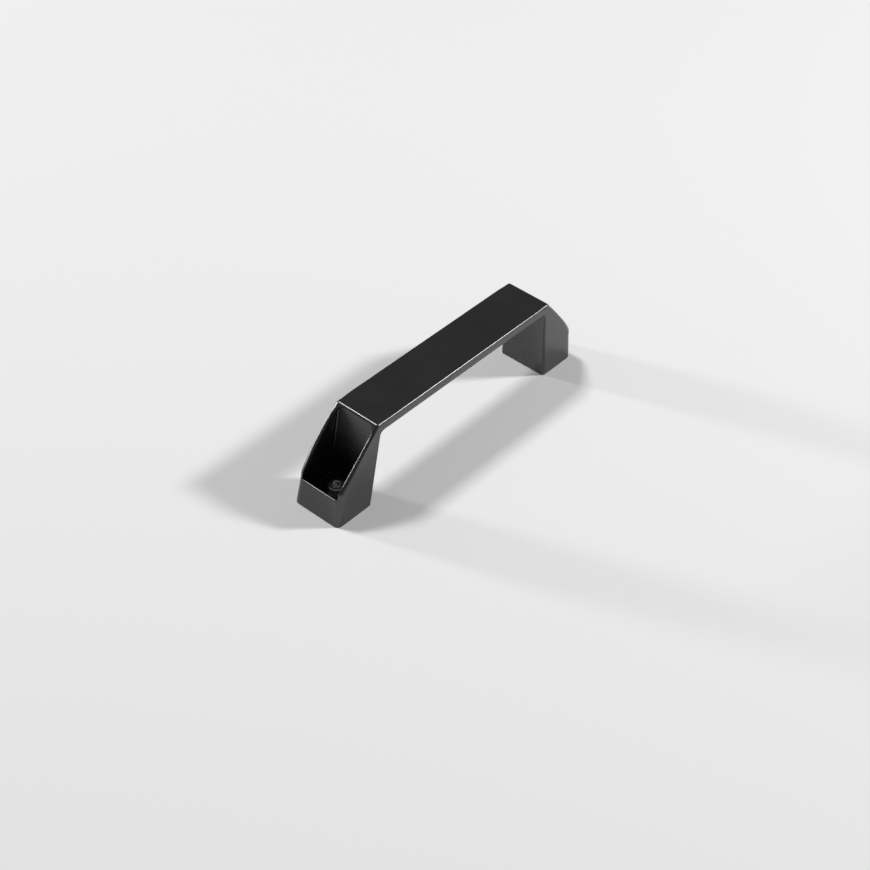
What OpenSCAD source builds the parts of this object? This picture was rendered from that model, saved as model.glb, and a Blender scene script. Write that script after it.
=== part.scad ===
/* [Handle] */
// Length over both feet, at the base
foot_span = 212; // [206:1:220]
// Width of the feet at the base
foot_w = 32.5; // [31.5:0.5:36]
// Height of the top face above the base
handle_h = 55; // [52:1:64]
// How far the top face's end lies in from the end of the foot
top_inset = 30.5; // [28:0.5:34]
// Width of the bar at its top face
top_w = 30.5; // [28:0.5:31]
// Thickness of the bar
bar_t = 6; // [5:0.5:8]

/* [Legs] */
// Length of each foot at the base
foot_len = 28; // [27:0.5:30]
// Height of the shoulder, where the slanted mouth meets the upright end
shoulder_h = 21.5; // [19:0.5:24]
// How far the upright end leans in, from the base to the shoulder
end_lean = 2; // [1:0.5:3]
// Height of the upright land round the base of each foot
land_h = 1; // [0.5:0.5:2]
// Radius of the feet's outer corners
corner_r = 4; // [3:0.5:5]
// Radius of the feet's inner corners
inner_corner_r = 3; // [2:0.5:4]
// Radius of the top face's corners
top_corner_r = 2.4; // [1.6:0.2:3]
// Radius of the edges round the top face
top_edge_r = 1; // [0.6:0.1:1.4]
// Radius of the lower edges of the bar
grip_edge_r = 1; // [0.5:0.1:2]
// Radius between the bar and the legs
crotch_r = 3; // [2:0.5:5]

/* [Pockets] */
// Thickness of the pocket's side walls at the mouth
wall_t = 2.5; // [2:0.25:3]
// Thickness of the wall between the pocket and the clear space, at the pocket's floor
back_wall_t = 2.5; // [2:0.25:3]
// Thickness of that wall at the pocket's top
back_top_t = 3.5; // [3:0.25:4]
// Thickness of the lip over the pocket, under the top face
lip_t = 2; // [1.5:0.25:3]
// Thickness of the upright end wall
end_wall_t = 2; // [1.5:0.25:3]
// Height of the end wall's rim above the base
rim_h = 17; // [14:0.5:18]
// How much each side wall gains in thickness from the end to the back
pocket_draft = 2.2; // [1:0.2:2.6]
// Radius of the pocket's upright inside corners
pocket_r = 1.5; // [0.5:0.25:3]

/* [Screws] */
// Distance of each screw from the end of its foot
screw_inset = 16; // [15:0.5:17]
// Outer diameter of the screws' thread
thread_d = 5.9; // [5.8:0.05:6]
// Diameter of their reduced shank, which ends level with the base
shank_d = 5.35; // [5.2:0.05:5.5]
// Length of the screws under their heads
screw_len = 20; // [16:1:30]
// Diameter of the screw heads
head_d = 10; // [9:0.5:10.5]
// Height of the screw heads
head_h = 6; // [5:0.5:7]
// Width across the flats of the hexagon socket
socket_af = 5; // [4:0.5:5.5]
// Depth of the hexagon socket
socket_depth = 3; // [2:0.5:4]
// Chamfer round the head and the tip of the screws
screw_chamfer = 0.6; // [0.3:0.1:1]
// Height of the pocket's floor, where the screw head sits, above the base
seat_h = 6.5; // [5:0.5:8]
// Gap all round a thread that passes its hole
hole_gap = 0.35; // [0.2:0.05:0.5]

/* [Hidden] */
ARC_STEPS = 8;
ARC_FN = 4 * ARC_STEPS;
BORE_FN = 64;
HEX = 6;
OVER = 10;

// Points of an arc of radius r about the centre c, from angle a0 to a1
function arc(c, r, a0, a1) =
    [for (i = [0:ARC_STEPS]) let (a = a0 + (a1 - a0) * i / ARC_STEPS) c + r * [cos(a), sin(a)]];
// Unit vector from p to q
function unit(p, q) = (q - p) / norm(q - p);
// Centre of the circle of radius r that touches both sides of the corner p
function corner_centre(before, p, after, r) =
    let (u = unit(p, before), v = unit(p, after))
    p + unit([0, 0], u + v) * r / sin(acos(u * v) / 2);
// The corner p as an arc of radius r between its neighbours before and after it
function rounded(before, p, after, r) =
    let (centre = corner_centre(before, p, after, r),
         u = unit(p, before), v = unit(p, after),
         reach = r / tan(acos(u * v) / 2),
         t0 = p + u * reach - centre, t1 = p + v * reach - centre,
         a0 = atan2(t0[1], t0[0]),
         turn = atan2(t0[0] * t1[1] - t0[1] * t1[0], t0 * t1))
    arc(centre, r, a0, a0 + turn);
// Value at t on the straight line from (t0, a0) to (t1, a1)
function along(t, t0, a0, t1, a1) = a0 + (a1 - a0) * (t - t0) / (t1 - t0);

// Corners of the near end's outline, seen from the side: base, shoulder and top
base = [-foot_span / 2, land_h];
shoulder = base + [end_lean, shoulder_h - land_h];
top = base + [top_inset, handle_h - land_h];
// Centres of the roundings at the shoulder, at the top edge and at the top corners
shoulder_c = corner_centre(base, shoulder, top, corner_r);
top_c = corner_centre(shoulder, top, [0, handle_h], top_edge_r);
corner_x = top_c[0] - top_edge_r + top_corner_r;
// Where the near leg's inner face meets the bar, the heights of the bar and of the pocket, and the screw's place
inner_top_x = corner_x + top_edge_r;
underside = handle_h - bar_t;
screw_x = base[0] + screw_inset;
inner_top_h = underside + grip_edge_r;
pocket_top = handle_h - lip_t;
// Half width of the drafted sides at height z
function half_w(z) = along(max(z, land_h), land_h, foot_w / 2, handle_h, top_w / 2);
// Place of the upright end's outer face at height z
function end_x(z) = along(z, land_h, base[0], shoulder_h, shoulder[0]);
// Place of the near leg's inner face at height z
function inner_x(z) = along(max(z, land_h), land_h, base[0] + foot_len, inner_top_h, inner_top_x);
// Place of the pocket's back wall at height z
function back_x(z) =
    along(z, seat_h, inner_x(seat_h) - back_wall_t, pocket_top, inner_x(pocket_top) - back_top_t);

// Upright disc of radius r with its rim rounded by edge_r, on the -X side of its axis
module half_disc(r, edge_r) {
    rim = arc([r - edge_r, 0], edge_r, -90, 90);
    rotate([0, 0, 90]) rotate_extrude(angle = 180, $fn = ARC_FN)
        polygon(r > edge_r ? concat([[0, -edge_r]], rim, [[0, edge_r]]) : rim);
}
// Ball with true extremes along every axis
module ball(r) {
    rotate_extrude($fn = ARC_FN) polygon(arc([0, 0], r, -90, 90));
}
// Solid with the section given as points (y, z), along X from x0 to x1
module along_x(section, x0, x1) {
    translate([x0, 0, 0]) rotate([90, 0, 90]) linear_extrude(x1 - x0) polygon(section);
}
// Solid with the outline given as points (x, z), across the width from -y1 to y1
module across(outline, y1) {
    translate([0, y1, 0]) rotate([90, 0, 0]) linear_extrude(2 * y1) polygon(outline);
}
// Solid near leg: a rounded form drawn over its base, its shoulder and its top
module leg() {
    hull() for (side = [-1, 1]) {
        translate([base[0] + corner_r, side * (half_w(0) - corner_r), 0])
            cylinder(r = corner_r, h = land_h, $fn = ARC_FN);
        translate([inner_x(0) - inner_corner_r, side * (half_w(0) - inner_corner_r), 0])
            cylinder(r = inner_corner_r, h = land_h, $fn = ARC_FN);
        translate([shoulder_c[0], side * (half_w(shoulder_c[1]) - corner_r), shoulder_c[1]])
            ball(corner_r);
        translate([corner_x, side * (half_w(top_c[1]) - top_corner_r), top_c[1]])
            half_disc(top_corner_r, top_edge_r);
        translate([inner_top_x - top_edge_r, side * (half_w(top_c[1]) - top_edge_r), top_c[1]])
            ball(top_edge_r);
        translate([inner_top_x - grip_edge_r, side * (half_w(inner_top_h) - grip_edge_r), inner_top_h])
            ball(grip_edge_r);
    }
}
// Bar between the legs: drafted sides, with rounded upper and lower edges
module bar() {
    side_top = [half_w(top_c[1]), top_c[1]];
    low = [half_w(underside), underside];
    right = concat(rounded([0, underside], low, side_top, grip_edge_r),
        arc([side_top[0] - top_edge_r, top_c[1]], top_edge_r, 0, 90));
    left = [for (i = [len(right) - 1:-1:0]) [-right[i][0], right[i][1]]];
    along_x(concat(right, left), corner_x, -corner_x);
}
// Web that rounds the inside corner between the bar and the near leg
module crotch() {
    corner = [inner_x(underside), underside];
    bend = rounded([inner_x(seat_h), seat_h], corner, [0, underside], crotch_r);
    into_leg = corner + [-back_wall_t / 2, bar_t / 2];
    across(concat([into_leg], bend), half_w(underside) - grip_edge_r);
}
// Pocket of the near leg: a basin round the screw head, open at the slanted mouth
module pocket() {
    outside = base[0] - OVER;
    side_section = [for (p = [[-1, seat_h], [1, seat_h], [1, pocket_top], [-1, pocket_top]])
        [p[0] * (half_w(p[1]) - wall_t), p[1]]];
    intersection() {
        across([[outside, rim_h], [end_x(rim_h) + end_wall_t, rim_h],
            [end_x(seat_h) + end_wall_t, seat_h], [back_x(seat_h), seat_h],
            [back_x(pocket_top), pocket_top], [outside, pocket_top]], foot_w);
        along_x(side_section, outside, 0);
        pocket_plan(outside, back_x(pocket_top));
    }
}
// Plan of the near pocket, from x0 to x1: drafted side walls and rounded back corners
module pocket_plan(x0, x1) {
    y_end = foot_w / 2 - wall_t;
    y1 = y_end - pocket_draft;
    y0 = along(x0, base[0], y_end, x1, y1);
    linear_extrude(handle_h) polygon(concat([[x0, -y0]],
        rounded([x0, -y0], [x1, -y1], [x1, y1], pocket_r),
        rounded([x1, -y1], [x1, y1], [x0, y0], pocket_r), [[x0, y0]]));
}
// Through hole for the screw of the near foot
module screw_hole() {
    translate([screw_x, 0, -OVER])
        cylinder(d = thread_d + 2 * hole_gap, h = seat_h + 2 * OVER, $fn = BORE_FN);
}
// The children at the near end and, mirrored, at the far end
module end_pair() {
    children();
    mirror([1, 0, 0]) children();
}
// One casting: the bar on its two hollow legs
module handle_body() {
    color("#26282a") difference() {
        union() {
            bar();
            end_pair() { leg(); crotch(); }
        }
        end_pair() { pocket(); screw_hole(); }
    }
}
// Socket head cap screw, standing on its seat at x
module cap_screw(x) {
    color("#55585a") translate([x, 0, seat_h]) {
        difference() {
            union() {
                cylinder(d = head_d, h = head_h - screw_chamfer, $fn = BORE_FN);
                translate([0, 0, head_h - screw_chamfer])
                    cylinder(d1 = head_d, d2 = head_d - 2 * screw_chamfer, h = screw_chamfer, $fn = BORE_FN);
            }
            translate([0, 0, head_h - socket_depth])
                cylinder(d = socket_af / cos(180 / HEX), h = socket_depth + OVER, $fn = HEX);
        }
        translate([0, 0, -seat_h - OVER])
            cylinder(d = shank_d, h = seat_h + OVER, $fn = BORE_FN);
        translate([0, 0, screw_chamfer - screw_len])
            cylinder(d = thread_d, h = screw_len - screw_chamfer - seat_h, $fn = BORE_FN);
        translate([0, 0, -screw_len])
            cylinder(d1 = thread_d - 2 * screw_chamfer, d2 = thread_d, h = screw_chamfer, $fn = BORE_FN);
    }
}
// Screw of the near foot
module screw_near() { cap_screw(screw_x); }
// Screw of the far foot
module screw_far() { cap_screw(-screw_x); }

handle_body();
screw_near();
screw_far();
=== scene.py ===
import math

import bmesh
import bpy
from mathutils import Matrix, Vector


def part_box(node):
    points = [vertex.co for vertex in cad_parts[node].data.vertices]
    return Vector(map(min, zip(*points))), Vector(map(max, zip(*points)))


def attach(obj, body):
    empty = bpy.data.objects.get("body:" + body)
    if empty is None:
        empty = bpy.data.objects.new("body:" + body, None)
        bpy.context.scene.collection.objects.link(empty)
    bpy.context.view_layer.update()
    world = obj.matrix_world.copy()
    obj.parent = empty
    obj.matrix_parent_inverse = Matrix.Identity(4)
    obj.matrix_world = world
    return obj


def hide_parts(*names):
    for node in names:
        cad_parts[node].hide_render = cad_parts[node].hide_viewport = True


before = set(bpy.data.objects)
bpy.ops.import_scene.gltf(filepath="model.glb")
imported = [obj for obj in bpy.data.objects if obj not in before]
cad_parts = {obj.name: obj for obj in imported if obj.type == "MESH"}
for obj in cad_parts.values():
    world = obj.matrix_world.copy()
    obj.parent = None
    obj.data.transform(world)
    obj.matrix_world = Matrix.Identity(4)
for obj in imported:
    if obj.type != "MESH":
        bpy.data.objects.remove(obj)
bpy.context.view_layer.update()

MM = 0.001

# %% [markdown]
# Where the camera stands
#
# A product photo is usually taken from far away with a long lens, so parallel edges stay
# nearly parallel. The place, the aim, the roll and the lens below were fitted together, until the
# handle's edges fell where they lie in the picture. The camera comes first, so that every later
# choice is made for what it sees.

# %% Camera
PICTURE_PX, FOCAL_PX, SENSOR_MM = 870, 1832.0, 36.0
CLIP_NEAR, CLIP_FAR = 0.01, 50.0
CAMERA_PLACE = Vector((-650.7, -475.7, 695.7)) * MM
CAMERA_AIM = Vector((-36.83, -24.48, 30.0)) * MM
CAMERA_ROLL = math.radians(5.377)


def turned_to(place, aim, roll=0.0):
    """A matrix at place that looks at aim, turned by roll about the line of sight"""
    turn = (aim - place).to_track_quat("-Z", "Y").to_matrix().to_4x4()
    return Matrix.Translation(place) @ turn @ Matrix.Rotation(roll, 4, "Z")


def add_object(name, data):
    thing = bpy.data.objects.new(name, data)
    bpy.context.scene.collection.objects.link(thing)
    return thing


lens = bpy.data.cameras.new("camera")
lens.sensor_width = SENSOR_MM
lens.lens = SENSOR_MM * FOCAL_PX / PICTURE_PX
lens.clip_start, lens.clip_end = CLIP_NEAR, CLIP_FAR
camera = add_object("camera", lens)
camera.matrix_world = turned_to(CAMERA_PLACE, CAMERA_AIM, CAMERA_ROLL)
bpy.context.scene.camera = camera
print("lens", round(lens.lens, 1), "mm")

# %% [markdown]
# Shader maths as Python
#
# Node trees are hard to read as long lists of links. Here a small class wraps a socket, so that
# sums and products of sockets are written as Python sums and products, and each one adds its
# Math node. Every other node comes from one method that takes its settings and its sockets.

# %% Sockets that can be added and multiplied
class Wire:
    """A socket whose Python operators add Math nodes to its tree"""

    def __init__(self, finish, socket):
        self.finish = finish
        self.socket = socket

    def __add__(self, other):
        return self.finish.math("ADD", self, other)

    def __sub__(self, other):
        return self.finish.math("SUBTRACT", self, other)

    def __rsub__(self, other):
        return self.finish.math("SUBTRACT", other, self)

    def __mul__(self, other):
        return self.finish.math("MULTIPLY", self, other)

    def __pow__(self, other):
        return self.finish.math("POWER", self, other)

    def __rpow__(self, other):
        return self.finish.math("POWER", other, self)

    __radd__ = __add__
    __rmul__ = __mul__


print("Wire:", Wire.__doc__)


# %% Materials made of such sockets
class Finish:
    """A new material, its shader and the one method that adds its nodes"""

    def __init__(self, name, **constants):
        self.material = bpy.data.materials.new(name)
        self.material.use_nodes = True
        self.tree = self.material.node_tree
        self.shader = self.tree.nodes["Principled BSDF"]
        for socket, value in constants.items():
            self.shader.inputs[socket.replace("_", " ")].default_value = value

    def node(self, kind, settings, sockets):
        """Adds a node: its settings first, then a value or a link for each socket"""
        made = self.tree.nodes.new(kind)
        for key, value in settings.items():
            setattr(made, key, value)
        for key, value in sockets.items():
            if isinstance(value, Wire):
                self.tree.links.new(value.socket, made.inputs[key])
            else:
                made.inputs[key].default_value = value
        return [Wire(self, out) for out in made.outputs]

    def math(self, operation, *values):
        return self.node("ShaderNodeMath", {"operation": operation}, dict(enumerate(values)))[0]

    def object_place(self):
        """Place of the shaded point in the object's own coordinates"""
        return self.node("ShaderNodeTexCoord", {}, {})[3]

    def noise(self, scale, detail=2.0):
        """Noise from 0 to 1, with scale waves to the metre"""
        sockets = {"Vector": self.object_place(), "Scale": scale, "Detail": detail}
        return self.node("ShaderNodeTexNoise", {}, sockets)[0]

    def bump(self, height, depth, strength=1.0):
        sockets = {"Strength": strength, "Distance": depth, "Height": height}
        return self.node("ShaderNodeBump", {}, sockets)[0]

    def mix(self, factor, dark, light):
        """Colour between two: sockets 0, 6 and 7 of a colour Mix node are its factor, A and B"""
        sockets = {0: factor, 6: dark, 7: light}
        return self.node("ShaderNodeMix", {"data_type": "RGBA"}, sockets)[2]

    def feed(self, **wires):
        """Links wires to sockets of the shader"""
        for socket, wire in wires.items():
            self.tree.links.new(wire.socket, self.shader.inputs[socket.replace("_", " ")])
        return self.material


print("Finish:", Finish.__doc__)

# %% [markdown]
# Floor and light
#
# The handle is shown on a plain pale floor. A dark, satin object is seen mostly by what it
# mirrors: its upright faces mirror the floor and look grey, and its top mirrors the room above
# and looks nearly black. So the world is kept dim, and three soft lamps make the floor pale and
# draw thin bright lines along the rounded edges. The lamps stand far off, so that their light
# falls off little across the floor. Nearer ones would leave bright patches on it.

# %% Floor and world
FLOOR_HALF = 3.0
FLOOR_TONE, ROOM_TONE = (0.82, 0.82, 0.82, 1.0), (0.12, 0.12, 0.12, 1.0)


def mesh_object(name, bm):
    mesh = bpy.data.meshes.new(name)
    bm.to_mesh(mesh)
    bm.free()
    return add_object(name, mesh)


bm = bmesh.new()
bmesh.ops.create_grid(bm, x_segments=1, y_segments=1, size=FLOOR_HALF)
floor = mesh_object("floor", bm)
pale_floor = Finish("pale floor", Base_Color=FLOOR_TONE, Roughness=0.9, Specular_IOR_Level=0.0)
floor.data.materials.append(pale_floor.material)

world = bpy.data.worlds.new("room")
world.use_nodes = True
world.node_tree.nodes["Background"].inputs["Color"].default_value = ROOM_TONE
bpy.context.scene.world = world
bpy.context.scene.view_settings.view_transform = "Standard"
print("floor", 2 * FLOOR_HALF, "m wide")

# %% Lamps
# Direction towards the lamp, its distance and size in metres, and its power in watts
LAMPS = {
    "key": ((0.61, -0.54, 0.58), 2.6, 0.28, 44.0),
    "rim": ((-0.35, 0.92, 0.17), 2.6, 0.28, 37.0),
    "top": ((-0.12, 0.45, 0.88), 2.8, 0.45, 37.0),
}
LAMPS_AIM = Vector((0.0, 0.0, 30.0)) * MM
for name, (towards, far, size, power) in LAMPS.items():
    lamp = bpy.data.lights.new(name, "AREA")
    lamp.size, lamp.energy = size, power
    place = Vector(towards).normalized() * far
    add_object(name, lamp).matrix_world = turned_to(place, LAMPS_AIM)
print("lamps", ", ".join(LAMPS))

# %% [markdown]
# The casting's outline
#
# The handle is one casting: a flat bar on two hollow legs. Its form is a rounded box that is
# swept along a bent path: up the upright end of the foot, along the slanted face, over the top
# edge and along the bar. A box that is bevelled afterwards would get the same radius all along,
# but the real corners are full at the foot and tight at the top. So each station of the sweep
# has its own two points, one outside and one inside, and its own corner radii.

# %% Sizes of the casting, in millimetres, of the half at -X
HALF_LONG, HALF_W_BASE, TOP = (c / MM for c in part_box("handle_body")[1])
LAND, BAR_T, HALF_W_TOP = 1.0, 6.0, 15.25
END_LEAN, SHOULDER_H, TOP_INSET = 2.0, 21.5, 30.5
FOOT_LEN, CROTCH_INSET = 28.0, 33.2
UNDERSIDE = TOP - BAR_T
FOOT_OUT, FOOT_IN = (-HALF_LONG, LAND), (FOOT_LEN - HALF_LONG, LAND)
SHOULDER = (END_LEAN - HALF_LONG, SHOULDER_H)
TOP_END = (TOP_INSET - HALF_LONG, TOP)
CROTCH = (CROTCH_INSET - HALF_LONG, UNDERSIDE)
SHOULDER_R, TOP_BEND_R = 5.6, 1.8
INNER_R, GRIP_R, CROTCH_R = 2.0, 1.0, 3.0
# Radius of the long corner at a height: full round the foot, tight along the slanted face
CORNER_AT = ((0.0, 3.4), (12.0, 4.4), (18.0, 5.0), (22.0, 4.6), (25.0, 3.3), (28.5, 2.1),
             (33.4, 1.2), (38.0, 0.9), (47.0, 0.8), (50.5, 1.3), (52.0, 1.8), (TOP, 1.8))
BAR_CORNER_R = 1.2
# The pocket: its floor, the lowest and highest place of its mouth, the mouth's arched corners,
# its end wall, its back wall at the floor and at the top, and its half width at either end
SEAT, RIM_LOW, RIM_HIGH, ARCH_R = 6.5, 17.4, 53.9, 5.1
END_WALL_X, BACK_LOW_X, BACK_HIGH_X = -102.8, -79.9, -75.4
MOUTH_W_END, MOUTH_W_BACK = 12.75, 13.4
print("half", round(HALF_LONG, 1), "mm long,", round(TOP, 1), "mm high")


# %% Widths and radii at a place
def lerp(a, b, t):
    return a + (b - a) * t


def half_w(z):
    """Half width of the casting at height z"""
    return lerp(HALF_W_BASE, HALF_W_TOP, (max(z, LAND) - LAND) / (TOP - LAND))


def corner_r(z):
    """Radius of the long corner at height z"""
    for (low, r_low), (high, r_high) in zip(CORNER_AT, CORNER_AT[1:]):
        if z <= high:
            return lerp(r_low, r_high, (z - low) / (high - low))
    return CORNER_AT[-1][1]


def pocket_w(x):
    """Half width of the pocket: its side walls are drafted towards the back"""
    return lerp(MOUTH_W_END, MOUTH_W_BACK, (x + HALF_LONG) / (BACK_HIGH_X + HALF_LONG))


def arch_in(z):
    """How far the arched corner of the pocket reaches in from its side wall at height z"""
    rise = min(max(z - (RIM_HIGH - ARCH_R), 0.0), ARCH_R)
    return ARCH_R - math.sqrt(ARCH_R ** 2 - rise ** 2)


print("half width", half_w(0.0), "mm at the sole and", half_w(TOP), "mm on top")


# %% Lines and bends in the side view
def on_line(p, q, z):
    """Point at height z of the line through p and q"""
    return Vector((lerp(p[0], q[0], (z - p[1]) / (q[1] - p[1])), z))


def outward(p, q):
    """Normal of the line from p to q, on its left"""
    along = Vector((q[0] - p[0], q[1] - p[1])).normalized()
    return Vector((-along.y, along.x))


def bend(before, corner, after, r, steps, side):
    """Stations round a corner: each is a point and the direction out of the metal"""
    corner = Vector(corner)
    u, v = (Vector(before) - corner).normalized(), (Vector(after) - corner).normalized()
    half = u.angle(v) / 2
    centre = corner + (u + v).normalized() * r / math.sin(half)
    start, end = (corner + w * r / math.tan(half) - centre for w in (u, v))
    turns = [start.normalized().slerp(end.normalized(), i / steps) for i in range(steps + 1)]
    return [(centre + d * r, d * side) for d in turns]


low_out, slant_out = outward(FOOT_OUT, SHOULDER), outward(SHOULDER, TOP_END)
shoulder_turn = math.degrees(low_out.angle(slant_out))
print("the end face turns by", round(shoulder_turn, 1), "degrees at the shoulder")

# %% Stations of the outer path: point, direction out of the metal, corner radius
BEND_STEPS = 6
FOOT_HEIGHTS = (0.0, LAND, 6.0, 11.5, RIM_LOW)
SLANT_HEIGHTS = (25.5, 27.0, 29.0, 32.0, 36.0, 40.0, 44.5)
ARCH_TURNS = [math.radians(turn) for turn in (0, 15, 30, 45, 60, 75, 90)]
BAR_STATIONS = (-71.5, -66.0, -45.0, -20.0, 0.0)

outer = [(on_line(FOOT_OUT, SHOULDER, z), low_out) for z in FOOT_HEIGHTS]
# Below the land the end of the foot stands upright
outer[0][0].x = FOOT_OUT[0]
mouth_start = FOOT_HEIGHTS.index(RIM_LOW)
outer += bend(FOOT_OUT, SHOULDER, TOP_END, SHOULDER_R, BEND_STEPS, 1)
outer += [(on_line(SHOULDER, TOP_END, z), slant_out) for z in SLANT_HEIGHTS]
arch_start = len(outer)
arch_heights = [RIM_HIGH - ARCH_R * (1 - math.sin(turn)) for turn in ARCH_TURNS]
outer += [(on_line(SHOULDER, TOP_END, z), slant_out) for z in arch_heights]
mouth_end = len(outer) - 1
outer = [(place, out, corner_r(place.y)) for place, out in outer]
top_bend = bend(SHOULDER, TOP_END, (0, TOP), TOP_BEND_R, BEND_STEPS, 1)
outer += [(*station, TOP_BEND_R) for station in top_bend]
bar_radii = [TOP_BEND_R] + [BAR_CORNER_R] * (len(BAR_STATIONS) - 1)
outer += [(Vector((x, TOP)), Vector((0, 1)), r) for x, r in zip(BAR_STATIONS, bar_radii)]
print(len(outer), "stations outside")

# %% Stations of the inner path, one for each of the outer path
# The leg's own stations end just below the bend at the crotch
BELOW_CROTCH = 1.25
LEG_TOP = UNDERSIDE - BELOW_CROTCH * CROTCH_R
PAST_CROTCH = -69.0

out_in = -outward(FOOT_IN, CROTCH)
inner = [(Vector((FOOT_IN[0], 0.0)), Vector((1, 0)), INNER_R), (Vector(FOOT_IN), out_in, INNER_R)]
for i in range(1, mouth_end):
    z = lerp(LAND, LEG_TOP, i / (mouth_end - 1))
    inner.append((on_line(FOOT_IN, CROTCH, z), out_in, lerp(INNER_R, GRIP_R, z / UNDERSIDE)))
crotch_bend = bend(FOOT_IN, CROTCH, (0, UNDERSIDE), CROTCH_R, BEND_STEPS, -1)
inner += [(*station, GRIP_R) for station in crotch_bend]
for x in BAR_STATIONS:
    inner.append((Vector((max(x, PAST_CROTCH), UNDERSIDE)), Vector((0, -1)), GRIP_R))
print(len(inner), "stations inside")

# %% [markdown]
# Sections of the sweep
#
# A station's section runs from the middle of the inner face, round the inner corner, across the
# side and round the outer corner to the middle of the outer face. Only the half at +Y is drawn.
# The pocket's rim cuts the outer corner's rounding, so one point of every section lies just on
# the line of the rim, and the mouth can later be opened along clean edges.

# %% One section
ARC_POINTS, REST_POINTS = 10, 3
RIM_MARGIN, REST_REACH = 0.8, 1.2
RIM_TRIES = 8
QUARTER, SMALL_TURN = math.pi / 2, 0.01


def corner_point(p, n, r, turn):
    """Point of a station's rounded corner: turn 0 is on the side, a right angle on the face"""
    centre = p - n * r
    q = centre + n * r * math.sin(turn)
    return Vector((q.x, half_w(centre.y) - r + r * math.cos(turn), q.y))


def rim_of(q, margin):
    """Half width of the rim beside the point q, with a margin"""
    return pocket_w(q.x) - arch_in(q.z) + margin


def turn_at_rim(p, n, r, margin):
    """How far round the corner the rim of the pocket lies"""
    turn = QUARTER
    for _ in range(RIM_TRIES):
        y = rim_of(corner_point(p, n, r, turn), margin)
        reach = (y - half_w((p - n * r).y) + r) / r
        turn = math.acos(min(max(reach, 0.0), 1.0))
    return turn


def outer_points(p, n, r):
    """From the side, round the corner and across the outer face to its middle"""
    near, rim = turn_at_rim(p, n, r, RIM_MARGIN), turn_at_rim(p, n, r, 0.0)
    row = [corner_point(p, n, r, near * i / (ARC_POINTS - 1)) for i in range(ARC_POINTS)]
    for i in range(REST_POINTS + 1):
        if rim < QUARTER - SMALL_TURN:
            row.append(corner_point(p, n, r, lerp(rim, QUARTER, i / REST_POINTS)))
        else:
            rim_y = rim_of(Vector((p.x, 0.0, p.y)), 0.0)
            row.append(Vector((p.x, rim_y - REST_REACH * i / REST_POINTS, p.y)))
    return row + [Vector((p.x, 0.0, p.y))]


def inner_points(p, n, r):
    """From the middle of the inner face to its rounded corner"""
    turns = [QUARTER * (1 - i / (ARC_POINTS - 1)) for i in range(ARC_POINTS)]
    return [Vector((p.x, 0.0, p.y))] + [corner_point(p, n, r, turn) for turn in turns]


sections = [inner_points(*i) + outer_points(*o) for i, o in zip(inner, outer)]
RIM_COLUMN = len(inner_points(*inner[0])) + ARC_POINTS
print(len(sections[0]), "points to a section, the rim on number", RIM_COLUMN)

# %% [markdown]
# The sweep
#
# The skin could be listed face by face, but it's shorter and safer to let Blender make it. The
# first section is a chain of edges. Each further section is extruded from the one before, and its
# new vertices are put in their places. The sole closes the first section.

# %% Sweep
bm = bmesh.new()


def next_row(bm, row, places):
    """Extrudes the edges of a row of vertices and puts the new vertices in their places"""
    edges = [bm.edges.get(pair) for pair in zip(row, row[1:])]
    made = set(bmesh.ops.extrude_edge_only(bm, edges=edges)["geom"])
    new_row = [next(e.other_vert(v) for e in v.link_edges if e.other_vert(v) in made) for v in row]
    for vert, place in zip(new_row, places):
        vert.co = place * MM
    return new_row


first = [bmesh.ops.create_vert(bm, co=place * MM)["vert"][0] for place in sections[0]]
for pair in zip(first, first[1:]):
    bm.edges.new(pair)
rows = [first]
for places in sections[1:]:
    rows.append(next_row(bm, rows[-1], places))
bm.faces.new(first[::-1])
print("swept", len(bm.faces), "faces")

# %% [markdown]
# The pocket
#
# Each foot is hollow: a pocket opens through its slanted end and holds the head of the screw. It
# could be cut with a Boolean, but a cut across a rounding tends to leave thin, uneven faces that
# are hard to bevel. So the mouth is opened by deleting the sweep's faces inside the rim, and the
# pocket's flat walls are drawn between its corners, from the lip of the end wall down to the
# floor and up the back.

# %% Mouth
inside = []
for low, high in zip(rows[mouth_start:mouth_end], rows[mouth_start + 1:mouth_end + 1]):
    for i in range(RIM_COLUMN, len(low) - 1):
        between = (f for f in low[i].link_faces if low[i + 1] in f.verts and high[i] in f.verts)
        inside.append(next(between))
bmesh.ops.delete(bm, geom=inside, context="FACES")
print("opened", len(inside), "faces")

# %% Walls
END_WALL_LEAN = 0.6


def pocket_vert(x, z, y):
    return bmesh.ops.create_vert(bm, co=Vector((x, y, z)) * MM)["vert"][0]


def back_x(z):
    """Place of the back wall at height z"""
    return lerp(BACK_LOW_X, BACK_HIGH_X, (z - SEAT) / (RIM_HIGH - SEAT))


basin = [rows[mouth_start][RIM_COLUMN:]]
for x, z in ((END_WALL_X, RIM_LOW), (END_WALL_X - END_WALL_LEAN, SEAT), (BACK_LOW_X, SEAT)):
    basin.append([pocket_vert(x, z, pocket_w(x)), pocket_vert(x, z, 0.0)])
for low, high in zip(basin, basin[1:]):
    bm.faces.new(low[::-1] + high)
rim_line = [row[RIM_COLUMN] for row in rows[mouth_start:mouth_end + 1]]
arch_rim = rim_line[arch_start - mouth_start:]
back_arch = []
for vert in arch_rim:
    z = vert.co.z / MM
    back_arch.append(pocket_vert(back_x(z), z, pocket_w(back_x(z)) - arch_in(z)))
for pair, back_pair in zip(zip(arch_rim, arch_rim[1:]), zip(back_arch, back_arch[1:])):
    bm.faces.new([*pair, *back_pair[::-1]])
back_top = pocket_vert(BACK_HIGH_X, RIM_HIGH, 0.0)
bm.faces.new(rows[mouth_end][RIM_COLUMN:] + [back_top, back_arch[-1]])
bm.faces.new([basin[-1][1], basin[-1][0], *back_arch, back_top])
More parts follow.
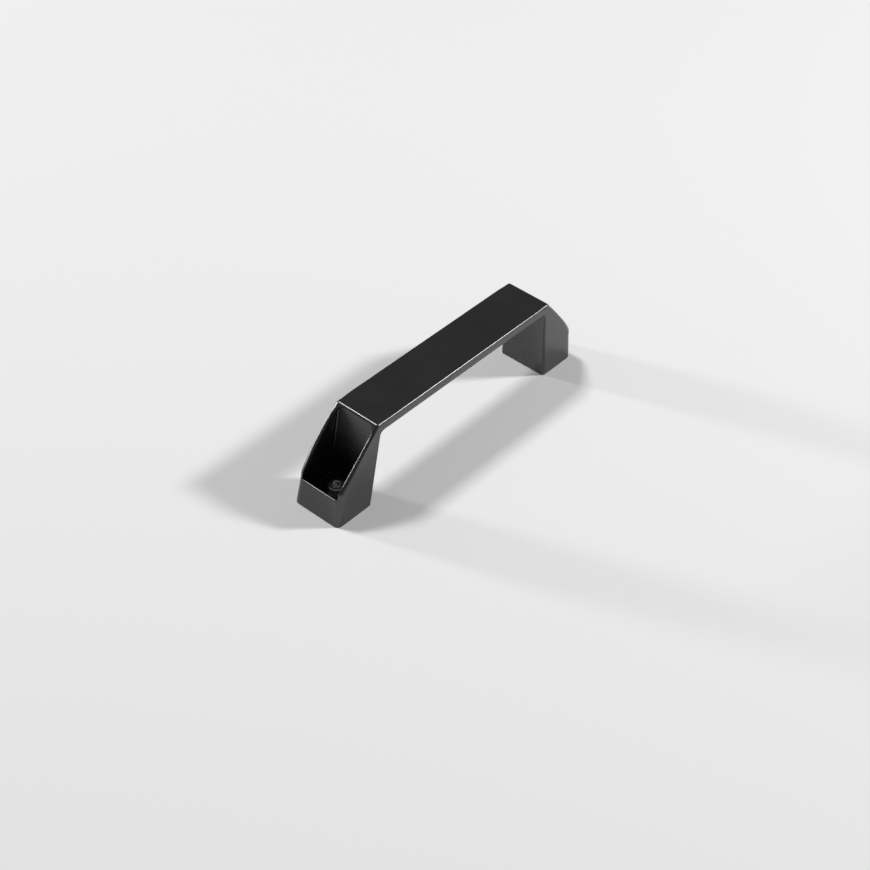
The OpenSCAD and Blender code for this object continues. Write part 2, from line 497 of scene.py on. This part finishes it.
straight_rim = rim_line[:arch_start - mouth_start + 1]
bm.faces.new(straight_rim + [back_arch[0]] + [pair[0] for pair in basin[:0:-1]])
print("half a leg has", len(bm.faces), "faces")

# %% Other side of the leg
MERGE = 0.001
FLAT_ANGLE = 0.001


def mirror(bm, axis):
    """Adds the mirror image across a plane through the origin and joins the two"""
    geom = bm.verts[:] + bm.edges[:] + bm.faces[:]
    bmesh.ops.mirror(bm, geom=geom, axis=axis, merge_dist=MERGE * MM)


mirror(bm, "Y")
seam = [e for e in bm.edges if all(abs(v.co.y) < MERGE * MM for v in e.verts)]
flat_seam = [e for e in seam if e.is_manifold and e.calc_face_angle() < FLAT_ANGLE]
bmesh.ops.dissolve_edges(bm, edges=flat_seam, use_verts=False)
bmesh.ops.recalc_face_normals(bm, faces=bm.faces)
print("leg and half bar", len(bm.faces), "faces")

# %% [markdown]
# Fillets and rounded rims
#
# A casting has no knife edges. The inside corners of the pocket get a fillet, as the mould's
# core needs, and the rim gets a small rounding that catches the light as a thin bright line. The
# edges could be picked by number, but numbers change with every edit. So they are chosen by where
# they are, by whether they are hollow or a ridge, and by how sharply their faces meet.

# %% Bevels
FILLET_R, RIM_R, BASE_R = 0.9, 0.6, 0.3
HOLLOW_DEG, RIDGE_DEG = 50, 40
# The rim lies inside this half width, and the long corners outside it
RIM_SIDE_Y = 14.4
CORE_PAST, NEAR, TOUCH = 1.0, 0.1, 0.01


def middle(edge):
    return (edge.verts[0].co + edge.verts[1].co) / 2 / MM


def sharp_edges(bm, least, chosen):
    """Edges that are chosen and whose faces meet at more than an angle in degrees"""
    joined = [e for e in bm.edges if e.is_manifold]
    return [e for e in joined if e.calc_face_angle() > math.radians(least) and chosen(e)]


def round_off(bm, edges, r, segments):
    bmesh.ops.bevel(bm, geom=edges, offset=r * MM, offset_type="OFFSET", segments=segments,
                    profile=0.5, affect="EDGES", clamp_overlap=False, material=-1)


def in_core(edge):
    """Whether an edge is a hollow corner of the pocket, other than at the ledge of its mouth"""
    m = middle(edge)
    along = END_WALL_X - CORE_PAST < m.x < BACK_HIGH_X + NEAR
    upright = SEAT - NEAR < m.z < RIM_HIGH + NEAR
    return not edge.is_convex and along and upright and abs(m.z - RIM_LOW) > NEAR


def on_rim(edge):
    m = middle(edge)
    return edge.is_convex and abs(m.y) < RIM_SIDE_Y and m.z > LAND


def on_sole(edge):
    return edge.is_convex and abs(middle(edge).z) < TOUCH


hollows = sharp_edges(bm, HOLLOW_DEG, in_core)
round_off(bm, hollows, FILLET_R, segments=4)
ridges = sharp_edges(bm, RIDGE_DEG, on_rim)
round_off(bm, ridges, RIM_R, segments=3)
sole = sharp_edges(bm, RIDGE_DEG, on_sole)
round_off(bm, sole, BASE_R, segments=2)
print("rounded", len(hollows), "hollows,", len(ridges), "ridges,", len(sole), "edges of the sole")

# %% [markdown]
# The second leg and the screw holes
#
# Both legs are alike, so the second one is a mirror image. The screw holes go straight through
# the floors of the pockets. There the Boolean is the right tool, because a round hole in a flat
# floor leaves clean edges. It is applied at once, so that the finished mesh is plain.

# %% Second leg and screw holes
SCREW_X, HOLE_R, DRILL_SIDES, DRILL_PAST = 90.0, 3.3, 48, 4.0
mirror(bm, "X")
bmesh.ops.recalc_face_normals(bm, faces=bm.faces)
body = mesh_object("cast_body", bm)

bm = bmesh.new()
for x in (-SCREW_X, SCREW_X):
    place = Matrix.Translation(Vector((x, 0, SEAT / 2)) * MM)
    bmesh.ops.create_cone(bm, cap_ends=True, segments=DRILL_SIDES, radius1=HOLE_R * MM,
                          radius2=HOLE_R * MM, depth=(SEAT + DRILL_PAST) * MM, matrix=place)
drill = mesh_object("drill", bm)
hole = body.modifiers.new("screw holes", "BOOLEAN")
hole.operation, hole.solver, hole.object = "DIFFERENCE", "EXACT", drill
bpy.context.view_layer.update()
finished = body.evaluated_get(bpy.context.evaluated_depsgraph_get())
drilled = bpy.data.meshes.new_from_object(finished)
body.modifiers.clear()
body.data = drilled
bpy.data.objects.remove(drill)
print("drilled", len(body.data.polygons), "faces")


# %% Smooth shading
def smooth(thing, sharper_than):
    """Smooth shading with hard edges where faces meet at more than the angle given"""
    thing.data.shade_smooth()
    thing.data.set_sharp_from_angle(angle=math.radians(sharper_than))
    weighted = thing.modifiers.new("weighted normals", "WEIGHTED_NORMAL")
    weighted.keep_sharp = True


smooth(body, sharper_than=38)
print("casting", len(body.data.polygons), "faces")

# %% [markdown]
# Black powder coat
#
# The black finish is read as a powder coat: melted powder flows into a satin skin that is never
# quite flat. Its waves are too fine to model, so a fine noise moves the normals a little, as the
# skin's orange peel does. A broader one changes the gloss and makes the black a shade lighter in
# places, so that the coat isn't exactly the same all over.

# %% Coat of the casting
PEEL_WAVES, PEEL_DETAIL, PEEL_DEEP = 900.0, 3.0, 0.02
CLOUD_WAVES = 60.0
BLACK, WORN_BLACK = (0.008, 0.008, 0.009, 1), (0.013, 0.013, 0.014, 1)
SATIN, SATIN_SPREAD = 0.24, 0.1

coat = Finish("black powder coat", IOR=1.75)
peel = coat.noise(PEEL_WAVES, PEEL_DETAIL)
clouds = coat.noise(CLOUD_WAVES)
body.data.materials.clear()
body.data.materials.append(coat.feed(
    Base_Color=coat.mix(clouds, BLACK, WORN_BLACK),
    Roughness=clouds * SATIN_SPREAD + SATIN,
    Normal=coat.bump(peel, PEEL_DEEP * MM)))
print("material", coat.material.name)

# %% [markdown]
# Socket head screws
#
# Each foot is held by a socket head cap screw. The head is a short cylinder with a knurled
# side, a chamfer round its top and a hexagon socket. A cylinder could be inset and pushed down,
# but rings of points can each have their own number: many for the knurled side, six for the
# hexagon. So the head is made of rings, from the seat up the side, over the chamfer and down into
# the socket, and each is bridged to the next. The shank goes on from the seat in the same way,
# and the thread is a V profile that is spun along the axis.

# %% Sizes of a screw, in millimetres
HEAD_R, HEAD_H, CHAMFER = 5.0, 6.0, 0.6
SEAT_EDGE, TURNED_EDGE = 0.2, 0.12
KNURLS, KNURL_POINTS, KNURL_DEEP = 40, 4, 0.16
SOCKET_AF, SOCKET_DEEP = 5.0, 3.0
SOCKET_RIM, SOCKET_LIP, LIP_DEEP, FLATS_DEEP = 0.55, 0.12, 0.42, 0.45
ROUND_SIDES, HEX_SIDES = 48, 6
SHANK_R, THREAD_R, PITCH, SCREW_LEN = 2.675, 2.95, 1.0, 20.0
THREAD_DEEP, THREAD_STEPS = 0.5, 24
CORE_R, TIP = THREAD_R - THREAD_DEEP, SEAT - SCREW_LEN
RUN_IN, TIP_LONG, TIP_CHAMFER = 0.3, 0.7, 0.35
THREAD_START, THREAD_SHORT, ROOT_SUNK = 0.75, 1.6, 0.05
CREST_LOW, CREST_HIGH, THREAD_THICK = 0.43, 0.56, 0.98
print("screw from", TIP, "to", SEAT + HEAD_H, "mm")


# %% Rings of points
def circle(bm, r, z, count):
    place = Matrix.Translation((0, 0, z * MM))
    return bmesh.ops.create_circle(bm, segments=count, radius=r * MM, matrix=place)["verts"]


def ring_of(verts):
    """Edges that run between the vertices given"""
    chosen = set(verts)
    edges = {e for v in verts for e in v.link_edges if all(w in chosen for w in e.verts)}
    return list(edges)


def skin(bm, rings):
    """Bridges each ring to the next and closes the last"""
    for a, b in zip(rings, rings[1:]):
        bmesh.ops.bridge_loops(bm, edges=a + b)
    bmesh.ops.holes_fill(bm, edges=rings[-1], sides=0)


print("a round has", ROUND_SIDES, "sides, the knurled side", KNURLS * KNURL_POINTS)


# %% One screw, standing on its seat
def head(bm):
    """Knurled head from its seat to its socket; gives the ring round the seat"""
    top = SEAT + HEAD_H
    levels = ((HEAD_R - SEAT_EDGE, SEAT, 0), (HEAD_R, SEAT + SEAT_EDGE, KNURL_DEEP),
              (HEAD_R, top - CHAMFER, KNURL_DEEP),
              (HEAD_R - TURNED_EDGE, top - CHAMFER + TURNED_EDGE, 0), (HEAD_R - CHAMFER, top, 0))
    rings = []
    for r, z, deep in levels:
        verts = circle(bm, r, z, KNURLS * KNURL_POINTS)
        for v in verts:
            turn = math.atan2(v.co.y, v.co.x)
            wave = (1 - math.cos(turn * KNURLS)) / 2
            v.co.xy *= 1 - wave * deep / r
        rings.append(ring_of(verts))
    hexagon_r = SOCKET_AF / 2 / math.cos(math.pi / HEX_SIDES)
    socket = ((SOCKET_AF / 2 + SOCKET_RIM, top, ROUND_SIDES),
              (SOCKET_AF / 2 + SOCKET_LIP, top - LIP_DEEP, ROUND_SIDES),
              (hexagon_r, top - FLATS_DEEP, HEX_SIDES),
              (hexagon_r, top - SOCKET_DEEP, HEX_SIDES))
    rings += [ring_of(circle(bm, *level)) for level in socket]
    skin(bm, rings)
    return rings[0]


def shank(bm, seat_ring):
    """Reduced shank through the foot, the core of the thread, and the turned tip"""
    levels = ((SHANK_R, SEAT), (SHANK_R, 0.0), (CORE_R, -RUN_IN), (CORE_R, TIP + TIP_LONG),
              (CORE_R - TIP_CHAMFER, TIP))
    skin(bm, [seat_ring] + [ring_of(circle(bm, r, z, ROUND_SIDES)) for r, z in levels])


def thread(bm):
    """V thread wound on the core, from the tip up to the foot"""
    root, low = CORE_R - ROOT_SUNK, TIP + THREAD_START
    profile = ((root, low), (THREAD_R, low + CREST_LOW), (THREAD_R, low + CREST_HIGH),
               (root, low + THREAD_THICK))
    places = [Vector((r, 0, z)) * MM for r, z in profile]
    start = bm.faces.new([bmesh.ops.create_vert(bm, co=place)["vert"][0] for place in places])
    turns = int((-TIP - THREAD_SHORT) / PITCH)
    steps = turns * THREAD_STEPS
    bmesh.ops.spin(bm, geom=[start], axis=(0, 0, 1), angle=math.tau * turns, steps=steps,
                   dvec=(0, 0, turns * PITCH * MM / steps), use_merge=False)


def screw(name, node, x):
    """A screw in its foot, standing for a node of the frame"""
    bm = bmesh.new()
    shank(bm, head(bm))
    thread(bm)
    bmesh.ops.recalc_face_normals(bm, faces=bm.faces)
    bmesh.ops.translate(bm, verts=bm.verts, vec=Vector((x, 0, 0)) * MM)
    made = mesh_object(name, bm)
    smooth(made, sharper_than=30)
    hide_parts(node)
    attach(made, "root")
    return made


screws = [screw("cap_screw_near", "screw_near", -SCREW_X),
          screw("cap_screw_far", "screw_far", SCREW_X)]
print("screw", len(screws[0].data.polygons), "faces")

# %% [markdown]
# Dark oiled steel
#
# Cap screws are usually hardened and oiled, so their steel is taken to be dark. The head is turned
# on a lathe, which leaves fine rings round its axis. They are too fine to model, so they are a
# bump: the distance from the nearer screw's axis is worked out from the place on the object, and
# a sine of it gives the rings.

# %% Steel of the screws
RING_PITCH, RING_DEEP, RING_STRENGTH = 0.25, 0.004, 0.3
SMUDGE_WAVES = 300.0
DARK_STEEL, CLEAN_STEEL = (0.42, 0.42, 0.43, 1), (0.62, 0.62, 0.63, 1)
POLISH, POLISH_SPREAD = 0.14, 0.12

steel = Finish("dark oiled steel", Metallic=1.0)
x, y = steel.node("ShaderNodeSeparateXYZ", {}, {0: steel.object_place()})[:2]
from_axis = steel.math("ABSOLUTE", x) - SCREW_X * MM
distance = (from_axis * from_axis + y * y) ** 0.5
rings = steel.math("SINE", distance * (math.tau / (RING_PITCH * MM)))
smudges = steel.noise(SMUDGE_WAVES)
dark_steel = steel.feed(
    Base_Color=steel.mix(smudges, DARK_STEEL, CLEAN_STEEL),
    Roughness=smudges * POLISH_SPREAD + POLISH,
    Normal=steel.bump(rings, RING_DEEP * MM, RING_STRENGTH))
for piece in screws:
    piece.data.materials.append(dark_steel)
print("material", dark_steel.name, "on", len(screws), "screws")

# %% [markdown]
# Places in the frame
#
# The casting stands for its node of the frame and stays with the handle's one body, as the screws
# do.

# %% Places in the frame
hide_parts("handle_body")
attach(body, "root")
